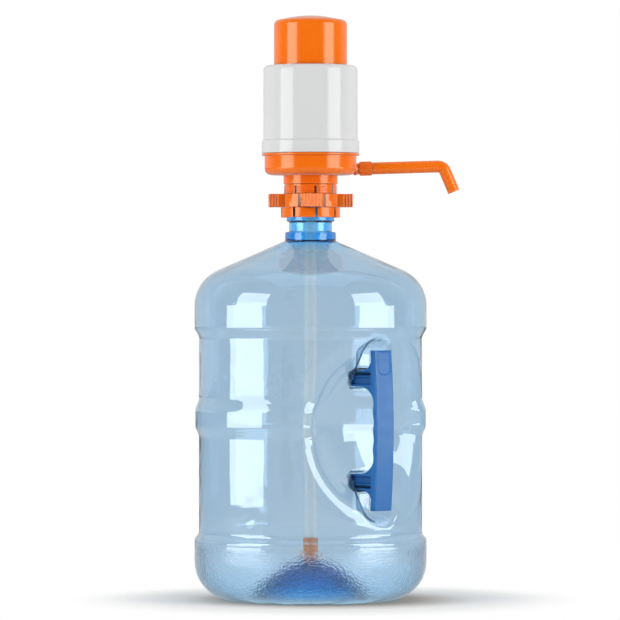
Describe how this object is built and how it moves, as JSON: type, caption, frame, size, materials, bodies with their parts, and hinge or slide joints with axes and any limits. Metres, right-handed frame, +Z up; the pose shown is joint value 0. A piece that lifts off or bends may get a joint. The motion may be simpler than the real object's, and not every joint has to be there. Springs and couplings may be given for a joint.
{
  "type": "water jug pump",
  "caption": "Large blue water bottle with an inset side handle and a hand press pump on its neck, with a bent spout, lobed lock ring and dip tube.",
  "frame": {"origin": "on the floor, in the middle of the object's reach: the jug's axis stands 19.13 mm to -X of it, and the spout's tip is as far to +X as the jug's side is to -X", "axes": "+Z up along the jug's axis, +X the way the spout points, -Y the front"},
  "size_m": [0.3082, 0.27, 0.6795],
  "materials": {
    "clear_blue_plastic": "blown, transparent, glossy",
    "solid_blue_plastic": "moulded, satin",
    "orange_plastic": "moulded, glossy",
    "white_plastic": "moulded, glossy",
    "milky_plastic": "extruded, translucent",
    "inner_plastic": "moulded, plain",
    "seal_rubber": "moulded, matte",
    "spring_steel": "drawn wire"
  },
  "bodies": {
    "jug": {"jug_shell": "clear_blue_plastic", "jug_handle": "solid_blue_plastic"},
    "pump": {"base_housing": "orange_plastic", "collet": "orange_plastic", "neck_gasket": "seal_rubber", "valve_plate": "inner_plastic", "body_shell": "white_plastic", "body_seal": "seal_rubber", "bellows": "milky_plastic", "bellows_ring": "inner_plastic", "return_spring": "spring_steel", "suction_tube": "milky_plastic", "tube_foot": "orange_plastic", "spout_seal": "seal_rubber"},
    "plunger": {"press_cap": "orange_plastic", "bellows_top_plate": "inner_plastic"},
    "lock_ring": {"lock_ring": "orange_plastic"},
    "spout": {"spout": "orange_plastic"},
    "spout_nut": {"spout_nut": "orange_plastic"},
    "outlet_flap": {"outlet_flap": "seal_rubber"},
    "intake_flap": {"intake_flap": "seal_rubber"}
  },
  "joints": [
    {"name": "pump_lift", "type": "slide", "parent": "jug", "child": "pump", "axis": [0, 0, 1], "range_m": [0, 0.45]},
    {"name": "press_slide", "type": "slide", "parent": "pump", "child": "plunger", "axis": [0, 0, -1], "range_m": [0, 0.05], "stiffness_N_per_m": 300, "springref_m": -0.02, "deforming": ["bellows", "return_spring"]},
    {"name": "ring_turn", "type": "hinge", "parent": "pump", "child": "lock_ring", "pos_m": [-0.01913, 0, 0.46428], "axis": [0, 0, 1], "range_deg": [0, 60]},
    {"name": "spout_swivel", "type": "hinge", "parent": "pump", "child": "spout", "pos_m": [0.04504, 0, 0.50154], "axis": [0.9996, 0, 0.0297], "range_deg": [-90, 90]},
    {"name": "spout_nut_turn", "type": "hinge", "parent": "pump", "child": "spout_nut", "pos_m": [0.04504, 0, 0.50154], "axis": [0.9996, 0, 0.0297], "range_deg": [0, 120]},
    {"name": "outlet_flap_lift", "type": "slide", "parent": "pump", "child": "outlet_flap", "axis": [0, 0, -1], "range_m": [0, 0.001], "stiffness_N_per_m": 20, "springref_m": -0.002},
    {"name": "intake_flap_lift", "type": "slide", "parent": "plunger", "child": "intake_flap", "axis": [0, 0, -1], "range_m": [0, 0.001], "stiffness_N_per_m": 20, "springref_m": -0.002}
  ]
}
